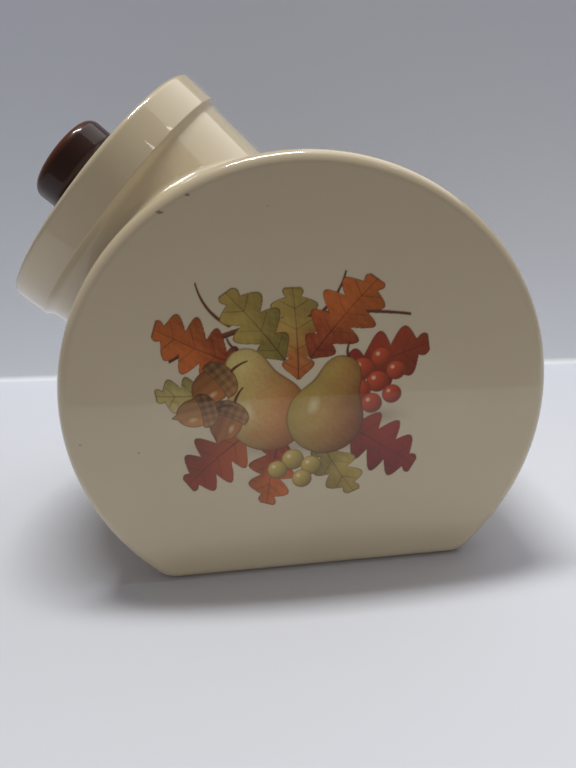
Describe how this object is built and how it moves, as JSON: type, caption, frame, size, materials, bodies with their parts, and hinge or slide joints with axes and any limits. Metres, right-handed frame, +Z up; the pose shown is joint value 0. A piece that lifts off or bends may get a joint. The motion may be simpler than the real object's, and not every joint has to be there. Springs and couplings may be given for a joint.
{
  "type": "biscuit jar",
  "caption": "Ceramic biscuit jar: flat-faced round drum on a flat foot, wide slanted neck with a stepped collar, inset lift-off lid with a dark button knob.",
  "frame": {"origin": "middle of the flat foot's plane, straight below the drum's axis", "axes": "+X towards the side away from the mouth, +Y from the front face to the back face along the drum's axis, +Z up; the neck leans towards -X"},
  "size_m": [0.2707, 0.17, 0.2516],
  "materials": {
    "cream_glaze": "gloss",
    "brown_glaze": "gloss",
    "brass": "satin",
    "rubber": "matte",
    "zinc_steel": "satin"
  },
  "bodies": {
    "jar": {"jar_body": "cream_glaze"},
    "lid_assembly": {"lid": "cream_glaze", "lid_knob": "brown_glaze", "knob_insert": "brass", "knob_washer": "rubber", "knob_screw": "zinc_steel"}
  },
  "joints": [
    {"name": "lid_lift", "type": "slide", "parent": "jar", "child": "lid_assembly", "axis": [-0.7193, 0, 0.6947], "range_m": [0, 0.08]}
  ]
}
